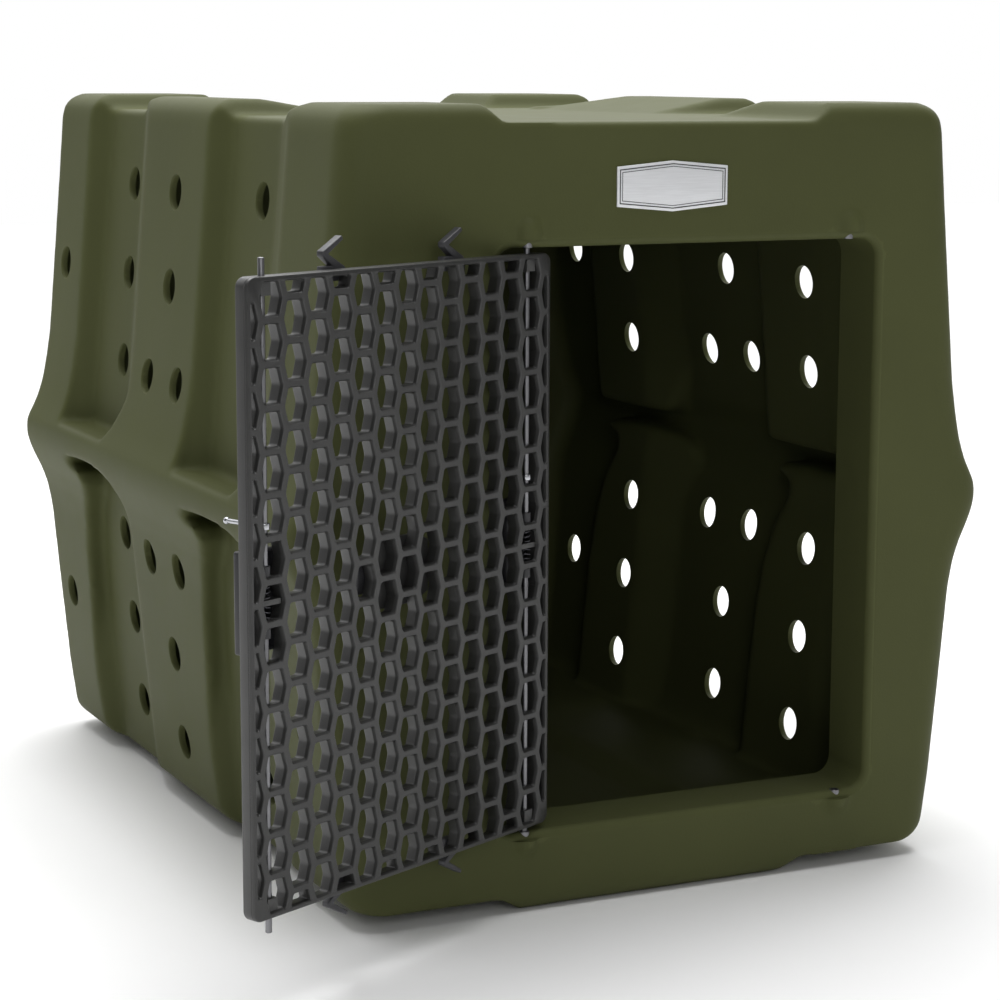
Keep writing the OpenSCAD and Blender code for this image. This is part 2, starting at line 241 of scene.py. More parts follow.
def cyl(name, p, r, h, axis="z", seg=48, tip=0.0):
    """Rod from p along an axis, with rounded ends when tip > 0."""
    prof = [(0, r - tip)]
    if tip:
        prof += [(tip - tip * math.cos(t), r - tip + tip * math.sin(t))
                 for t in np.linspace(0.3, math.pi / 2, 4)]
    prof += [(h - d, q) for d, q in reversed(prof)]
    rings = []
    for d, q in prof:
        ring = []
        for i in range(seg):
            a = 2 * math.pi * i / seg
            u, v = q * math.cos(a), q * math.sin(a)
            along = {"x": (d, u, v), "y": (u, d, v), "z": (u, v, d)}[axis]
            ring.append(tuple(c + s for c, s in zip(p, along)))
        rings.append(ring)
    return loft(name, rings)


def box(name, lo, hi):
    (x0, y0, z0), (x1, y1, z1) = lo, hi
    return loft(name, [[(x0, y0, z), (x1, y0, z), (x1, y1, z), (x0, y1, z)] for z in (z0, z1)])


def prism_y(name, pts, y0, y1):
    return loft(name, [[(x, y, z) for x, z in pts] for y in (y0, y1)])


def prism_x(name, pts, x0, x1):
    return loft(name, [[(x, y, z) for y, z in pts] for x in (x0, x1)])


def ball(name, p, r):
    rings = []
    for t in np.linspace(0.02, math.pi - 0.02, 16):
        q = r * math.sin(t)
        rings.append([(p[0] + q * math.cos(a), p[1] + q * math.sin(a), p[2] - r * math.cos(t))
                      for a in turn(32)])
    return loft(name, rings)


def rounded(w, h, r, n=10):
    """Outline of a rounded rectangle about the origin."""
    pts = []
    for sx, sz, a0 in ((1, 1, 0), (-1, 1, 90), (-1, -1, 180), (1, -1, 270)):
        for t in np.linspace(0, 90, n):
            a = math.radians(a0 + t)
            pts.append((sx * (w / 2 - r) + r * math.cos(a), sz * (h / 2 - r) + r * math.sin(a)))
    return pts


def in_shell(o, node, slot):
    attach(o, "shell")
    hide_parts(node)
    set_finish(o, slot)
    return o


def place(o, node, slot, body="door"):
    """Swings a closed-door shape to the stored opening and hands it to its body."""
    o.data.transform(door_matrix)
    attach(o, body)
    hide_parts(node)
    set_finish(o, slot)
    return o


# ---------------------------------------------------------------- shell
# half width and half length of the outer shell at each height
HALF_WIDTHS = [(0, 262), (11.7, 262), (15.5, 271), (24, 278.5), (70, 285), (154, 293), (238, 300.5),
               (262, 305), (280, 311.5), (292, 317.5), (304, 322.5), (313, 325), (322, 325.5), (331, 324.5),
               (340, 319.5), (352, 313.5), (370, 307.5), (392, 303), (420, 298.5), (577, 284.5), (638, 279.5),
               (648, 277), (655, 271.5), (660, 262)]
HALF_LENGTHS = [(0, HALF_L - 10), (4, HALF_L - 3), (12, HALF_L), (646, HALF_L), (655, HALF_L - 3),
                (660, HALF_L - 10)]
OUTER_LEVELS = [0, 4, 12, 15.5, 24, 70, 154, 238, 262, 280, 292, 304, 313, 322, 331, 340, 352, 370, 392, 420,
                577, 638, 646, 648, 655, 660]
INNER_LEVELS = [17.7, 30, 70, 154, 238, 262, 292, 313, 331, 352, 392, 420, 577, 636, 654]
# rear and front end of each side groove, measured back from the front face
GROOVES = (("a", 664, 484), ("b", 312, 122))
# distance of each side vent column from the front face, with its rows counted from the top
VENTS = [(719, (2, 5)), (567, (1, 2, 3, 4, 5, 6)), (391, (1, 2, 5, 6)), (434, (3, 4)), (352, (3, 4)),
         (216, (1, 2, 3, 4, 5, 6)), (62, (2, 5))]


def at_height(table, z):
    return float(np.interp(z, [a for a, _ in table], [b for _, b in table]))


def ring(z, e):
    """Plan outline at a height, with the corner faces set in by e."""
    w, length = at_height(HALF_WIDTHS, z) - CORNER_R, at_height(HALF_LENGTHS, z) - CORNER_R
    r = (CORNER_R - e) / math.cos(math.radians(11.25))
    out = []
    for q in range(4):
        sx, sy = (1 if q in (0, 3) else -1), (1 if q < 2 else -1)
        for k in range(4):
            a = math.radians(90 * q + 22.5 * k + 11.25)
            out.append((sx * w + r * math.cos(a), sy * length + r * math.sin(a), z))
    return out


def groove(tag, yr, yf, e):
    """Upper and lower cutter of one right-hand groove between yr (rear) and yf (front), grown by e."""
    deep = GROOVE_D + e
    plan = [(-60, yr + 1.2 * e), (0, yr + 1.2 * e), (deep, yr - 16 + 0.8 * e), (deep, yf + 61 - 0.14 * e),
            (0, yf - 3.52 * e), (-60, yf - 3.52 * e)]
    upper = [(yr + 30, 720), (yr + 30, 337 - e), (yf + 41 - 0.6 * e, 337 - e), (yf + 27 - 0.8 * e, 350 - e),
             (yf + 18 - e, 364 - e), (yf + 6 - e, 380 - e), (yf - 1 - 2 * e, 395 - e),
             (yf - 4 * e - 1, 432 - e), (yf - 4 * e - 5, 720)]
    lower = [(yr + 30, -30), (yr + 30, 55), (yr + 2 + e, 75), (yr - 12 + e, 152), (yr - 20 + e, 211),
             (yr - 32 + e, 251), (yr - 44 + e, 268), (yr - 56 + e, 283), (yr - 53 + e, 294),
             (yr - 34 + e, 301), (yr - 4 + e, 305), (yr - 10 + 0.5 * e, 307.5 + 0.8 * e), (yr - 91, 310 + e),
             (yf + 60, 309.5 + e), (yf + 34, 306 + e), (yf + 10, 299 + e), (yf - 1 - e, 288 + e),
             (yf - 3 * e - 2, 274 + e), (yf - 4 * e, 238 + e), (yf - 4 * e - 4, -30)]
    out = []
    for z0, tilt, line in ((500, -5.05, upper), (154, 5.4, lower)):
        a = loft("g" + tag, [[(-x, y, z) for x, y in plan] for z in (-400, 400)])
        wall = Vector((at_height(HALF_WIDTHS, z0), -HALF_L, z0)) * MM
        a.data.transform(Matrix.Translation(wall) @ Matrix.Rotation(math.radians(tilt), 4, "Y"))
        limit = prism_x("o" + tag, [(y - HALF_L, z) for y, z in line], 200, 460)
        out.append(boolean(a, limit, "INTERSECT"))
    return out


def grooves(e):
    right = join("gr", [cut for tag, yr, yf in GROOVES for cut in groove(tag, yr, yf, e)])
    return join("gg", [mirrored(right, "gm"), right])


def roof_channel(name, rear, floor_rear, floor_front, front, e):
    line = [(rear + e, 700), (rear + e, 661), (floor_rear + e, 646 - e), (floor_front - e, 646 - e),
            (front - e, 661), (front - e, 700)]
    return prism_x(name, [(y - HALF_L, z) for y, z in line], -400, 400)


def roof_cuts(o, e):
    boolean(o, join("rc", [roof_channel("r1", 664, 652, 560, 500, e),
                           roof_channel("r2", 312, 300, 172, 118, e)]))
    line = [(-232, 700), (-232, 660.5 - e), (-150, 646 - e), (150, 646 - e), (232, 660.5 - e), (232, 700)]
    boolean(o, prism_y("r3", line, 240 - HALF_L, 540 - HALF_L))


def skid_relief(side):
    line = [(124, -10), (124, 0), (143, SKID_H), (400, SKID_H), (400, -10)]
    return prism_y("s%d" % side, [(side * x, z) for x, z in line], -FAR, FAR)


def socket_boss(x, z0, z1):
    rings = []
    for z, r in ((z0, 2), (z0 + 1.5, 7), (z0 + 5, 10.5), (z0 + 10, 12), (z1 - 10, 12), (z1 - 5, 10.5),
                 (z1 - 1.5, 7), (z1, 2)):
        rings.append([(x + r * math.cos(a), PIN_Y - HALF_L + r * math.sin(a), z) for a in turn(32)])
    return loft("boss", rings)


def keep_bosses(p):
    """Relaxing weight: full on the walls, a quarter near the socket bosses."""
    boss = np.zeros(len(p))
    for _, x in PINS:
        near = (np.abs(p[:, 0] - x) < 22) & (p[:, 1] < -HALF_L + 14)
        boss = np.maximum(boss, near * 1.0)
    return 1 - 0.75 * boss


def outer_body():
    """Solid outer form with skid, stacking trough, grooves and socket bosses, its edges rounded."""
    out = loft("pet_carrier_shell", [ring(z, 0) for z in OUTER_LEVELS])
    boolean(out, join("skid", [skid_relief(s) for s in (1, -1)]))
    trough = [(-159, TOP + 1), (-158, TOP), (-144, TOP - BLOCK_H), (144, TOP - BLOCK_H), (158, TOP),
              (159, TOP + 1)]
    boolean(out, prism_y("trough", trough, -FAR, FAR))
    boolean(out, grooves(0))
    roof_cuts(out, 0)
    for x in (HINGE_X, LATCH_X):
        for z0, z1 in ((WAY_TOP - 6, WAY_TOP + 25), (WAY_Z - 20, WAY_Z + 6)):
            boolean(out, socket_boss(x, z0, z1), "UNION")
    voxel(out, 3.0)
    relax(out, 8, keep_bosses)
    return out


def inner_cavity():
    """The room inside the walls, which also hollows the centre skid."""
    cavity = loft("cavity", [ring(z, WALL) for z in INNER_LEVELS])
    trough = [(-161, 656), (-160, 654), (-147, 640), (147, 640), (160, 654), (161, 656)]
    boolean(cavity, prism_y("t2", trough, -FAR, FAR))
    pocket = [(-126, 6), (126, 6), (141, 17.6), (141, 24), (-141, 24), (-141, 17.6)]
    boolean(cavity, prism_y("t3", pocket, -378.5, 379.5), "UNION")
    boolean(cavity, grooves(WALL))
    roof_cuts(cavity, WALL)
    voxel(cavity, 5)
    relax(cavity, 4)
    return cavity


def cut_doorway(out):
    """Jamb liner, then the doorway with its rounded lip and the bores for the sockets."""
    def outline(y, e):
        return [(x + WAY_X, y - HALF_L, z + WAY_MID)
                for x, z in rounded(WAY_W + 2 * e, WAY_H + 2 * e, WAY_R + e)]

    boolean(out, loft("liner", [outline(y, JAMB_T) for y in (2.5, JAMB_D)]), "UNION")
    prof = [(-30, LIP), (0, LIP)]
    prof += [(LIP - LIP * math.cos(t), LIP - LIP * math.sin(t)) for t in np.linspace(0.12, math.pi / 2, 8)]
    prof += [(90, 0)]
    boolean(out, loft("doorway", [outline(y, e) for y, e in prof]))
    boolean(out, join("bores", [cyl("b", (x, PIN_Y - HALF_L, z), SOCKET_R, SOCKET_L + 2, seg=36)
                                for x in (HINGE_X, LATCH_X) for z in (WAY_TOP - 1, WAY_Z - SOCKET_L - 1)]))


def vent_z(row):
    """Rows 1 to 3 are above the ridge's crest, 4 to 6 below it."""
    return CREST + VENT_PITCH * (4 - row) + 1 if row < 4 else CREST - VENT_PITCH * (row - 3) + 1


def vent_edge(tree, side, y, z):
    """Flared ring that breaks a vent's edge, set square to the wall that a ray finds there."""
    hit, normal, _, _ = tree.ray_cast(Vector((side * 0.5, y * MM, z * MM)), Vector((-side, 0, 0)))
    u = Vector(normal).cross(Vector((0, 0, 1))).normalized()
    w = u.cross(normal)
    rings = []
    for d, r in ((4, 20.5), (0.3, 16.8), (-1.0, 15.7), (-2.4, 15.2)):
        centre, reach = hit + normal * d * MM, r * MM
        rings.append([tuple((centre + u * math.cos(a) * reach + w * math.sin(a) * reach) / MM)
                      for a in turn(64)])
    return loft("e", rings)


def cut_vents(out, tree):
    """Vents of both side walls and the rear wall; only the side vents get a flared edge."""
    bores, edges = [], []
    places = [(s, v - HALF_L, vent_z(r)) for v, rows in VENTS for r in rows for s in (-1, 1)]
    for s, y, z in places:
        bores.append(cyl("v", (230 if s > 0 else -400, y, z), VENT_R, 170, "x", 64))
        edges.append(vent_edge(tree, s, y, z))
    for x in REAR_VENT_X:
        for z in REAR_VENT_Z:
            bores.append(cyl("v", (x, HALF_L - 40, z), VENT_R, 80, "y", 64))
    boolean(out, join("bores", bores))
    boolean(out, join("edges", edges))


def make_shell():
    out = outer_body()
    tree = BVHTree.FromObject(out, bpy.context.evaluated_depsgraph_get())
    boolean(out, inner_cavity())
    cut_doorway(out)
    cut_vents(out, tree)
    return smooth(out, 38)


in_shell(make_shell(), "body_shell", "shell_olive")

# ---------------------------------------------------------------- honeycomb door
# A cell is a hexagon: half width CELL_A at its top and bottom, CELL_B at the middle, half height CELL_H.
# Where it grows by e in height, its half widths grow by GROW_A and GROW_B times e.
ROWS, COLS = 15, 14
ROW, COL, RIB = DOOR_H / ROWS, DOOR_W / COLS, 5.4
CELL_A, CELL_B, CELL_H = 7.7, 11.4, ROW / 2 - RIB / 2
GROW_A, GROW_B = 0.8, 1.04
EDGE, END_TRIM = 4, 1.1
# SKIN keeps the faces of two joined shapes from lying in one plane
SKIN, GUIDE_BORE_R = 0.02, 2.62


def cell_size(e):
    """Half widths and half height of a cell grown by e."""
    return CELL_A + GROW_A * e, CELL_B + GROW_B * e, CELL_H + e


def full_cell(cx, cz, e):
    a, b, h = cell_size(e)
    p = [(-a, -h), (a, -h), (b, 0), (a, h), (-a, h), (-b, 0)]
    return [(cx + u, cz + v) for u, v in p]


def kept_inside(p, e):
    """Keeps a cell inside the frame edge, with e more room."""
    x0, x1, z0, z1 = DX0 + EDGE - e, DX1 - EDGE + e, DZ0 + EDGE - e, DZ1 - EDGE + e
    return [(min(max(x, x0), x1), min(max(z, z0), z1)) for x, z in p]


def end_cells(x, e):
    """Half cells at the door's bottom and top edge."""
    a, b, h = cell_size(e)
    b -= END_TRIM
    p = [(-b, EDGE - e), (b, EDGE - e), (a, h), (-a, h)]
    return [[(x + u, DZ0 + v) for u, v in p], [(x + u, DZ1 - v) for u, v in reversed(p)]]


def side_cells(e):
    """Half cells along the door's hinge-side edge, then along its free edge."""
    a, b, h = cell_size(e)
    p = [(EDGE - e, -h), (a, -h), (b, 0), (a, h), (EDGE - e, h)]
    heights = [DZ0 + i * ROW for i in range(1, ROWS)]
    return ([[(DX0 + u, z + v) for u, v in p] for z in heights]
            + [[(DX1 - u, z + v) for u, v in reversed(p)] for z in heights])


def softened(p, r=2.6, n=4):
    """Rounds the corners of a convex cell outline."""
    out = []
    for i, c in enumerate(p):
        a, b = np.array(p[i - 1]), np.array(p[(i + 1) % len(p)])
        c = np.array(c)
        la, lb = np.linalg.norm(a - c), np.linalg.norm(b - c)
        d = min(r * 0.8, 0.42 * la, 0.42 * lb)
        for t in np.linspace(0, 1, n):
            q = c + (a - c) / la * d * (1 - t) ** 2 + (b - c) / lb * d * t ** 2
            out.append((float(q[0]), float(q[1])))
    return out


def cells(e):
    """All cell outlines, each grown by e; neighbouring columns are half a row apart."""
    out = []
    for k in range(1, COLS, 2):
        out += [kept_inside(full_cell(DX0 + k * COL, DZ0 + (i + 0.5) * ROW, e), e) for i in range(ROWS)]
    for k in range(2, COLS, 2):
        out += [full_cell(DX0 + k * COL, DZ0 + i * ROW, e) for i in range(1, ROWS)]
        out += end_cells(DX0 + k * COL, e)
    out += side_cells(e)
    return [softened(c) for c in out]


def slab(name, y0, y1, lead):
    """Door half; lead is the face (0 for y0, 1 for y1) that is outside and gets the rounded edge."""
    def outline(y, e, r):
        return [(x + DOOR_X, y, z + DOOR_Z) for x, z in rounded(DOOR_W - 2 * e, DOOR_H - 2 * e, r, 8)]

    rings = []
    for d, e in ((0, 1.5), (0.5, 0.5), (1.5, 0)):
        rings.append(outline(y0 + d if lead == 0 else y1 - d, e, DOOR_R - e))
    # a hairline groove at the parting plane
    y, inwards = (y1, -0.5) if lead == 0 else (y0, 0.5)
    rings.append(outline(y + inwards, 0, DOOR_R))
    rings.append(outline(y, 0.45, DOOR_R - 0.5))
    return loft(name, rings)


def cell_cutter(y0, y1, lead):
    """One mesh of all drafted cells; each opens out at the outside face."""
    prof = [(-1.0, 1.1), (0.0, 0.75), (0.45, 0.25), (1.1, 0.05), (y1 - y0 + 0.02, -0.55)]
    layers = [(y0 + d if lead == 0 else y1 - d, cells(e)) for d, e in prof]
    verts, faces = [], []
    for c in range(len(layers[0][1])):
        more_verts, more_faces = loft_mesh([[(x, y, z) for x, z in lay[c]] for y, lay in layers], len(verts))
        verts += more_verts
        faces += more_faces
    return new_obj("cells", verts, faces)


def door_half(name, y0, y1, lead):
    return boolean(slab(name, y0, y1, lead), cell_cutter(y0, y1, lead))


def fit_rods(half):
    """Room for the slides and pulls, guide blocks, and the bore of each rod."""
    for x in (HINGE_X, LATCH_X):
        rooms = [box("n", (x - 8, -1, DOOR_Z + z), (x + 8, OUTER_T + 3, DOOR_Z + z + 32)) for z in (2, -34)]
        rooms.append(box("n", (x - 4.7, -1, DOOR_Z + 41.5), (x + 4.7, OUTER_T + SKIN, DOOR_Z + 58.5)))
        boolean(half, join("n", rooms))
        for z, w, h in ((DZ0 + EDGE, 5, 10), (DZ1 - EDGE - 10, 5, 10), (DOOR_Z - 2, 12, 4)):
            boolean(half, box("g", (x - w, SKIN, z), (x + w, OUTER_T - SKIN, z + h)), "UNION")
        boolean(half, cyl("bore", (x, PIN_Y, DZ0 - 5), GUIDE_BORE_R, DOOR_H + 10, seg=36))


inner = door_half("door_inner_half_mesh", OUTER_T, DOOR_T, 1)
place(smooth(inner, 32), "door_inner_half", "door_grey")
outer = door_half("door_outer_half_mesh", 0, OUTER_T, 0)
fit_rods(outer)
place(smooth(outer, 32), "door_outer_half", "door_grey")

# ---------------------------------------------------------------- door fittings
# heights called _Z are from the door's middle
CLIP_X = 68
COVER_T, COVER_HALF, COVER_WALL = 9.0, 38, 2.5
SLOT_Z, SLOT_L, SLOT_HALF = (-28, 8), 20, 3.1
SCREW_X, SCREW_Z, SCREW_R, SCREW_T = 9.5, 31, 2.9, 1.4
ROD_Z = 16
SLIDE_Z, SLIDE_L, COLLAR_R = 18.5, 8, 4.2
SPRING_Z, SPRING_L, COIL_R, WIRE_R = 2.1, 16.2, 3.6, 0.5
PULL_Z, SHANK_R, BALL_R = 55.5, 1.7, 2.6
PULL_L = {"latch": 35, "hinge": 14}
SOCKET_BORE_R = 2.56


def clip(end, tag, x):
    """Chevron spring on the door's top or bottom edge, on a small foot."""
    pts = [(-12, -9), (12, -9), (12, 1), (-6, 11), (10, 21), (8.5, 24), (-12, 13), (-12, 9.5), (-2, 2),
           (-12, 2)]
    z0, s = (DZ1, 1) if end == "top" else (DZ0, -1)
    o = prism_y("clip_%s_%s_mesh" % (end, tag), [(x - px, z0 + s * pz) for px, pz in pts], -7.6, -0.6)
    bevel(o, 0.9, 3, 25)
    lo, hi = (DZ1 - 9, DZ1 - 5.2) if end == "top" else (DZ0 + 5.2, DZ0 + 9)
    boolean(o, box("foot", (x - 12, -0.9, lo), (x + 12, -0.05, hi)), "UNION")
    return place(smooth(o, 40), "clip_%s_%s" % (end, tag), "clip_grey")


def centre_plate():
    pts = [(-36, -20), (-22, -27), (22, -27), (36, -20), (36, 20), (22, 27), (-22, 27), (-36, 20)]
    o = prism_y("centre_plate_mesh", [(DOOR_X + x, DOOR_Z + z) for x, z in pts], -3, 0)
    return place(bevel(o, 0.8), "centre_plate", "door_grey")


def centre_lugs():
    lugs = []
    for x in (DOOR_X - 41, DOOR_X + 41):
        lugs.append(bevel(box("lug", (x - 5, -3, DOOR_Z - 12), (x + 5, 0, DOOR_Z + 12)), 0.8))
    return place(smooth(join("centre_lugs_mesh", lugs), 40), "centre_lugs", "black_plastic")


def cover(tag, x, left, right):
    """Latch box with two finger slots and shallow grip grooves beside them."""
    z0, z1 = DOOR_Z - COVER_HALF, DOOR_Z + COVER_HALF
    o = box(tag + "_cover_mesh", (x - left, -COVER_T, z0), (x + right, 0, z1))
    bevel(o, 1.8, 4)
    boolean(o, box("c", (x - left + COVER_WALL, 2 - COVER_T, z0 + COVER_WALL),
                   (x + right - COVER_WALL, 1, z1 - COVER_WALL)))
    boolean(o, join("s", [box("s", (x - SLOT_HALF, -20, DOOR_Z + z), (x + SLOT_HALF, -6, DOOR_Z + z + SLOT_L))
                          for z in SLOT_Z]))
    grip = [DOOR_Z + z for z in range(-24, 25, 4)]
    boolean(o, join("r", [box("r", (x + 6, -COVER_T - 1, z), (x + 14, -COVER_T + 0.5, z + 1.2))
                          for z in grip]))
    return place(smooth(o, 40), tag + "_cover", "black_plastic")


def cross_screw(x, z):
    o = cyl("sc", (x, -COVER_T - SCREW_T, z), SCREW_R, SCREW_T, "y", 40, 0.5)
    for w, h in ((1.7, 0.35), (0.35, 1.7)):
        boolean(o, box("x", (x - w, -COVER_T - 2, z - h), (x + w, -COVER_T - 0.9, z + h)))
    return o


def cover_screws(tag, x):
    screws = [cross_screw(x + SCREW_X, DOOR_Z + s * SCREW_Z) for s in (-1, 1)]
    return place(smooth(join(tag + "_cover_screws_mesh", screws), 35), tag + "_cover_screws", "bright_chrome")


def rod(tag, end, x):
    z0 = DOOR_Z + ROD_Z if end == "upper" else DZ0 - PIN_OUT
    o = cyl("rod_%s_%s_mesh" % (tag, end), (x, PIN_Y, z0), PIN_R, DOOR_H / 2 + PIN_OUT - ROD_Z, "z", 40, 0.9)
    return place(smooth(o, 40), "rod_%s_%s" % (tag, end), "zinc_steel", "%s_%s_bolt" % (tag, end))


def slide(tag, end, x):
    """Finger slide gripped on the inner end of a rod."""
    z0 = DOOR_Z + SLIDE_Z if end == "upper" else DOOR_Z - SLIDE_Z - SLIDE_L
    z1 = z0 + SLIDE_L
    o = bevel(box("slide_%s_%s_mesh" % (tag, end), (x - 6, -6.2, z0), (x + 6, -0.6, z1)), 0.8)
    boolean(o, bevel(box("f", (x - 2.6, -13, z0 + 1), (x + 2.6, -5.6, z1 - 1)), 0.9), "UNION")
    boolean(o, box("f", (x - 3, -1, z0), (x + 3, 3, z1)), "UNION")
    boolean(o, cyl("f", (x, PIN_Y, z0), COLLAR_R, SLIDE_L, "z", 36), "UNION")
    boolean(o, cyl("f", (x, PIN_Y, z0 - 2), PIN_R, SLIDE_L + 4, "z", 40))
    return place(smooth(o, 40), "slide_%s_%s" % (tag, end), "black_plastic", "%s_%s_bolt" % (tag, end))


def spring(tag, end, x):
    """Round wire wound four times about the rod; it stays with the door."""
    up = 1 if end == "upper" else -1
    turns, steps, end_gap = 4.0, 120, WIRE_R + 0.05
    low, high = SPRING_Z + end_gap, SPRING_Z + SPRING_L - end_gap
    around = 2 * math.pi * turns
    rings = []
    for i in range(steps + 1):
        th = around * i / steps
        out = Vector((math.cos(th), math.sin(th), 0))
        centre = Vector((COIL_R * out.x, COIL_R * out.y, low + (high - low) * i / steps))
        along = Vector((-out.y * COIL_R * around, out.x * COIL_R * around, high - low)).normalized()
        side = along.cross(out)
        wire = [centre + (out * math.cos(a) + side * math.sin(a)) * WIRE_R for a in turn(12)]
        rings.append([(x + q.x, PIN_Y + q.y, DOOR_Z + up * q.z) for q in wire])
    o = loft("spring_%s_%s_mesh" % (tag, end), rings)
    return place(smooth(o, 50), "spring_%s_%s" % (tag, end), "spring_steel")


def pull(tag, x):
    """Ball-ended pull clamped on the upper rod; its length is measured from the door's outer face."""
    z, tip = DOOR_Z + PULL_Z, -PULL_L[tag]
    o = cyl("knob_%s_mesh" % tag, (x, PIN_Y, z - 2.5), COLLAR_R, 5, "z", 40, 0.6)
    boolean(o, cyl("k", (x, tip + 2, z), SHANK_R, PIN_Y - tip - 2.2, "y", 32), "UNION")
    boolean(o, cyl("k", (x, PIN_Y, z - 9), PIN_R, 18, "z", 40))
    boolean(o, ball("k", (x, tip + BALL_R, z), BALL_R), "UNION")
    return place(smooth(o, 40), "knob_" + tag, "bright_chrome", tag + "_upper_bolt")


def socket(tag, x, up):
    """Bush in the jamb for a rod's end, open towards the doorway."""
    z0, bore_z = (WAY_TOP, WAY_TOP - 1) if up else (WAY_Z - SOCKET_L, WAY_Z - SOCKET_L + 2)
    o = cyl("socket_%s_mesh" % tag, (x, PIN_Y - HALF_L, z0), SOCKET_R, SOCKET_L, "z", 48, 0.4)
    boolean(o, cyl("s", (x, PIN_Y - HALF_L, bore_z), SOCKET_BORE_R, SOCKET_L - 1, "z", 40))
    return in_shell(smooth(o, 35), "socket_" + tag, "zinc_steel")


for end in ("top", "bottom"):
    clip(end, "hinge", DOOR_X - CLIP_X)
    clip(end, "latch", DOOR_X + CLIP_X)
centre_plate()
centre_lugs()
for tag, x, left, right in (("latch", LATCH_X, 16, 18), ("hinge", HINGE_X, 17, 16)):
    cover(tag, x, left, right)
    cover_screws(tag, x)
for tag, x in PINS:
    for end in ("upper", "lower"):
        rod(tag, end, x)
        slide(tag, end, x)
        spring(tag, end, x)
    pull(tag, x)
for tag, x in reversed(PINS):
    socket(tag + "_top", x, True)
    socket(tag + "_bottom", x, False)

# ---------------------------------------------------------------- badge
BADGE_X, BADGE_Z, BADGE_HALF_W = 6.0, 594.0, 51
BADGE_END, BADGE_MIDDLE = 16, 20.5


def badge_outline(k):
    """Outline of the name plate, set in by k; it is taller at its middle than at its ends."""
    w, end, middle = BADGE_HALF_W - k, BADGE_END - k, BADGE_MIDDLE - k
    pts = [(-w, -end), (0, -middle), (w, -end), (w, end), (0, middle), (-w, end)]
    return [(BADGE_X + x, BADGE_Z + z) for x, z in pts]


def border_line(name, k0, k1):
    y0, y1 = -HALF_L - 1.62, -HALF_L - 1.3
    a = prism_y(name, badge_outline(k0), y0, y1)
    return boolean(a, prism_y("i", badge_outline(k1), y0 - 1, y1 + 1))


badge = prism_y("badge_plate_mesh", badge_outline(0), -HALF_L - 1.4, -HALF_L + 0.3)
in_shell(bevel(badge, 0.5, 3, 25), "badge_plate", "badge_silver")
border = join("badge_border_mesh", [border_line("l1", 2.2, 3.0), border_line("l2", 4.4, 4.9)])
in_shell(smooth(border, 30), "badge_border", "badge_line")


# ---------------------------------------------------------------- materials
def noise(nt, vec, scale, detail, rough=0.5):
    n = nt.nodes.new("ShaderNodeTexNoise")
    n.inputs["Scale"].default_value = scale
    n.inputs["Detail"].default_value = detail
    n.inputs["Roughness"].default_value = rough
    nt.links.new(vec, n.inputs["Vector"])
    return n.outputs["Fac"]


def ramp(nt, fac, stops):
    r = nt.nodes.new("ShaderNodeValToRGB")
    for el, (position, rgb) in zip(r.color_ramp.elements, stops):
        el.position, el.color = position, (*rgb, 1)
    nt.links.new(fac, r.inputs["Fac"])
    return r


def map_range(nt, value, **ends):
    r = nt.nodes.new("ShaderNodeMapRange")
    for key, v in ends.items():
        r.inputs[key.replace("_", " ")].default_value = v
    nt.links.new(value, r.inputs["Value"])
    return r.outputs["Result"]


def bump_node(nt, height, strength, distance):
    b = nt.nodes.new("ShaderNodeBump")
    b.inputs["Strength"].default_value = strength
    b.inputs["Distance"].default_value = distance
    nt.links.new(height, b.inputs["Height"])
    return b


def worn_and_highlit_edges(nt, vec, col, rgb, amount):
    """Handling wear and painted highlight: paler where the surface turns, partly real rubbing and partly the
    light that rounded edges catch.
    """
    geo = nt.nodes.new("ShaderNodeNewGeometry")
    turned = map_range(nt, geo.outputs["Pointiness"], From_Min=0.53, From_Max=0.60, To_Max=amount)
    patchy = nt.nodes.new("ShaderNodeMath")
    patchy.operation = "MULTIPLY"
    nt.links.new(turned, patchy.inputs[0])
    nt.links.new(noise(nt, vec, 60, 6, 0.55), patchy.inputs[1])
    mix = nt.nodes.new("ShaderNodeMix")
    mix.data_type = "RGBA"
    mix.inputs[7].default_value = (*[min(1, c * 2.1 + 0.02) for c in rgb], 1)
    nt.links.new(patchy.outputs[0], mix.inputs[0])
    nt.links.new(col, mix.inputs[6])
    return mix.outputs[2]


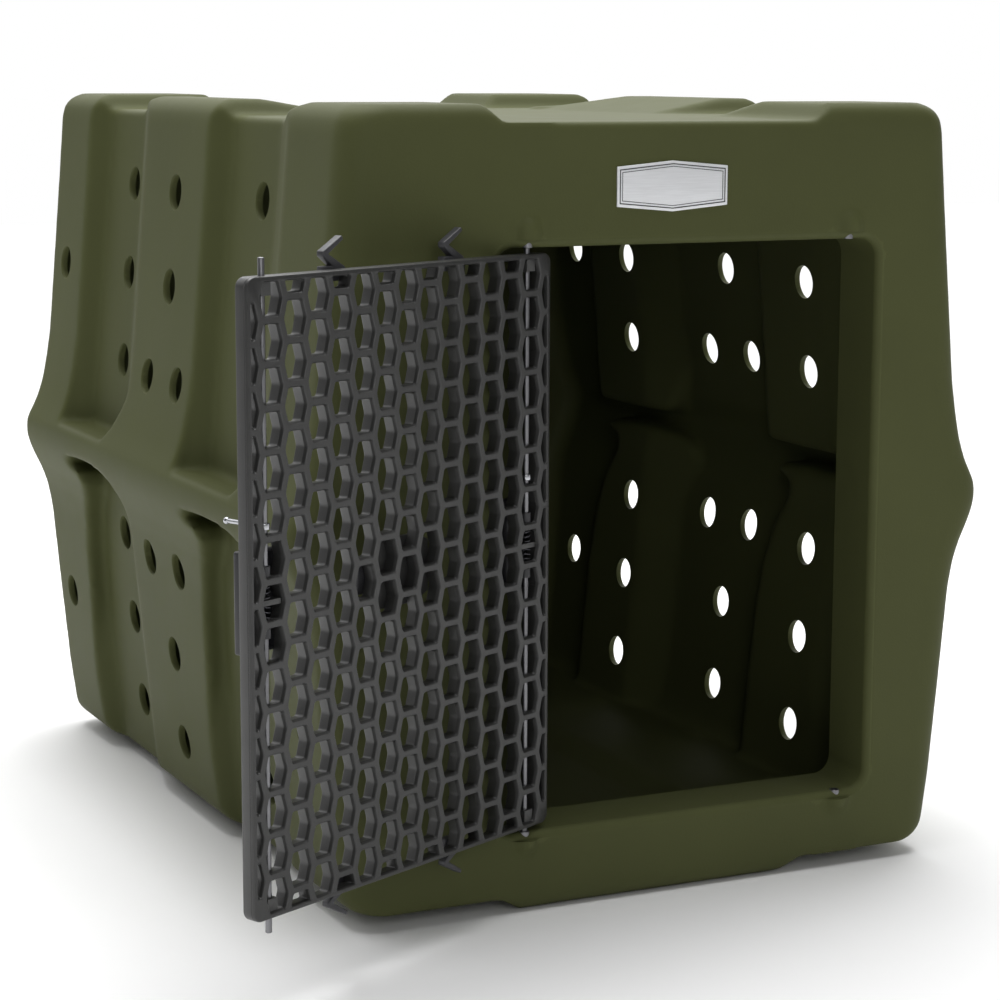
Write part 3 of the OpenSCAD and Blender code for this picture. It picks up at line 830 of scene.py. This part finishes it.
def material(name, rgb, rough, metal=0.0, vary=0.06, scale=9.0, grain=900.0, bump=0.15, streak=None,
             rough_vary=0.06, spec=0.5, edge=0.0, wave=0.0):
    """Mottled, grained surface; streak stretches the pattern, edge adds wear and painted highlight on turned
    edges, wave a slow unevenness.
    """
    m = bpy.data.materials.new(name)
    m.use_nodes = True
    nt = m.node_tree
    shader = nt.nodes["Principled BSDF"]
    shader.inputs["Metallic"].default_value = metal
    shader.inputs["Specular IOR Level"].default_value = spec
    place_vec = vec = nt.nodes.new("ShaderNodeTexCoord").outputs["Object"]
    if streak:
        mapping = nt.nodes.new("ShaderNodeMapping")
        mapping.inputs["Scale"].default_value = streak
        nt.links.new(vec, mapping.inputs["Vector"])
        vec = mapping.outputs["Vector"]
    lo = [c * (1 - vary * 2) for c in rgb]
    hi = [min(1, c * (1 + vary * 2)) for c in rgb]
    col = ramp(nt, noise(nt, vec, scale, 5, 0.6), ((0.3, lo), (0.72, hi))).outputs["Color"]
    # edge paints turned edges paler: part wear, part painted highlight
    if edge:
        col = worn_and_highlit_edges(nt, place_vec, col, rgb, edge)
    nt.links.new(col, shader.inputs["Base Color"])
    rough_out = map_range(nt, noise(nt, vec, scale * 4, 4, 0.6), To_Min=rough - rough_vary,
                          To_Max=rough + rough_vary)
    nt.links.new(rough_out, shader.inputs["Roughness"])
    fine = bump_node(nt, noise(nt, vec, grain, 3), bump, 0.0004)
    nt.links.new(fine.outputs["Normal"], shader.inputs["Normal"])
    if wave:
        broad = bump_node(nt, noise(nt, place_vec, 11, 2), wave, 0.0012)
        nt.links.new(broad.outputs["Normal"], fine.inputs["Normal"])
    return m


mats = {
    "shell_olive": material("shell_olive_lldpe", (0.073, 0.080, 0.030), 0.6, vary=0.035, scale=5.0, grain=520,
                            bump=0.22, edge=0.22, rough_vary=0.05, spec=0.12, wave=0.35),
    # the door's strong edge value paints its cell rims paler; this is mostly painted highlight on the rounded
    # rims
    "door_grey": material("door_grey_nylon", (0.022, 0.022, 0.021), 0.4, vary=0.05, scale=30, grain=1400,
                          bump=0.2, edge=0.9, spec=0.6),
    "clip_grey": material("clip_grey_nylon", (0.036, 0.036, 0.040), 0.45, vary=0.05, scale=60, grain=1800,
                          bump=0.2),
    "black_plastic": material("black_plastic_cover", (0.018, 0.018, 0.020), 0.42, vary=0.08, scale=70,
                              grain=1600, bump=0.2, edge=0.3),
    "zinc_steel": material("zinc_steel_rod", (0.22, 0.22, 0.23), 0.38, metal=1.0, vary=0.05, scale=60,
                           grain=700, bump=0.12, streak=(9, 9, 1)),
    "bright_chrome": material("bright_chrome", (0.46, 0.47, 0.49), 0.2, metal=1.0, vary=0.03, scale=90,
                              bump=0.04, rough_vary=0.04),
    "spring_steel": material("spring_steel", (0.10, 0.10, 0.11), 0.4, metal=1.0, vary=0.05, scale=90,
                             bump=0.06),
    "badge_silver": material("badge_brushed_alloy", (0.84, 0.85, 0.87), 0.34, metal=0.25, vary=0.03,
                             scale=40, grain=300, bump=0.12, streak=(1, 1, 26)),
    "badge_line": material("badge_line_enamel", (0.03, 0.032, 0.03), 0.4, vary=0.08, scale=90, bump=0.05),
}
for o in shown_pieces():
    o.data.materials.clear()
    o.data.materials.append(mats[o["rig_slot"]])

# ---------------------------------------------------------------- stage, camera, light
scene = bpy.context.scene
floor = new_obj("floor", [(-9, -9, 0), (9, -9, 0), (9, 9, 0), (-9, 9, 0)], [(0, 1, 2, 3)], 1)
floor.location.z = -0.0005
floor.data.materials.append(material("floor_paper", (0.93, 0.93, 0.93), 0.9, vary=0.004, scale=2, grain=300,
                                     bump=0.01, spec=0.2))


def aim_camera(position, yaw, pitch, roll, lens, shift):
    """Camera looking along yaw (from +Y towards +X) and down by pitch, turned by roll; degrees."""
    yaw, pitch, roll = [math.radians(a) for a in (yaw, pitch, roll)]
    right = Vector((math.cos(yaw), -math.sin(yaw), 0))
    ahead = Vector((math.sin(yaw) * math.cos(pitch), math.cos(yaw) * math.cos(pitch), -math.sin(pitch)))
    up = right.cross(ahead)
    x_axis = right * math.cos(roll) + up * math.sin(roll)
    y_axis = up * math.cos(roll) - right * math.sin(roll)
    cam = link_new("camera", bpy.data.cameras.new("camera"))
    turned = Matrix((x_axis, y_axis, -ahead)).transposed().to_4x4()
    cam.matrix_world = Matrix.Translation(position) @ turned
    cam.data.sensor_width, cam.data.lens = 36, lens
    cam.data.shift_x, cam.data.shift_y = shift
    cam.data.clip_start, cam.data.clip_end = 0.05, 60
    scene.camera = cam


def softbox(name, loc, target, size, power):
    light = bpy.data.lights.new(name, "AREA")
    light.shape, light.size, light.size_y, light.energy = "RECTANGLE", size[0], size[1], power
    o = link_new(name, light)
    o.location = loc
    o.rotation_mode = "QUATERNION"
    o.rotation_quaternion = (Vector(target) - Vector(loc)).to_track_quat("-Z", "Y")


def studio_world():
    """White where the camera looks, dim grey all round."""
    world = bpy.data.worlds.new("studio")
    world.use_nodes = True
    nt = world.node_tree
    background = nt.nodes["Background"]
    background.inputs["Strength"].default_value = 1.0
    facing = nt.nodes.new("ShaderNodeVectorMath")
    facing.operation = "DOT_PRODUCT"
    facing.inputs[1].default_value = (0.437, 0.90, 0.0)
    nt.links.new(nt.nodes.new("ShaderNodeTexCoord").outputs["Generated"], facing.inputs[0])
    glow = ramp(nt, facing.outputs["Value"], ((0.70, (0.17, 0.17, 0.17)), (0.90, (1, 1, 1))))
    glow.color_ramp.interpolation = "EASE"
    nt.links.new(glow.outputs["Color"], background.inputs["Color"])
    scene.world = world


aim_camera((-1.0375, -2.2623, 0.6882), 25.94, 9.48, 0.26, 94.43, (-0.0224, 0.0053))
softbox("key_left", (-3.4, 1.9, 1.2), (0, 0.1, 0.35), (2.4, 2.0), 4)
softbox("fill_front", (-1.0, -4.0, 1.7), (0.05, 0, 0.35), (2.0, 1.8), 29)
softbox("floor_far", (3.2, 8.0, 4.2), (3.2, 8.0, 0.0), (18.0, 13.0), 900)
softbox("top", (0.2, 0.3, 3.4), (0, 0, 0.4), (3.0, 3.0), 152)
studio_world()
scene.view_settings.view_transform = "Standard"
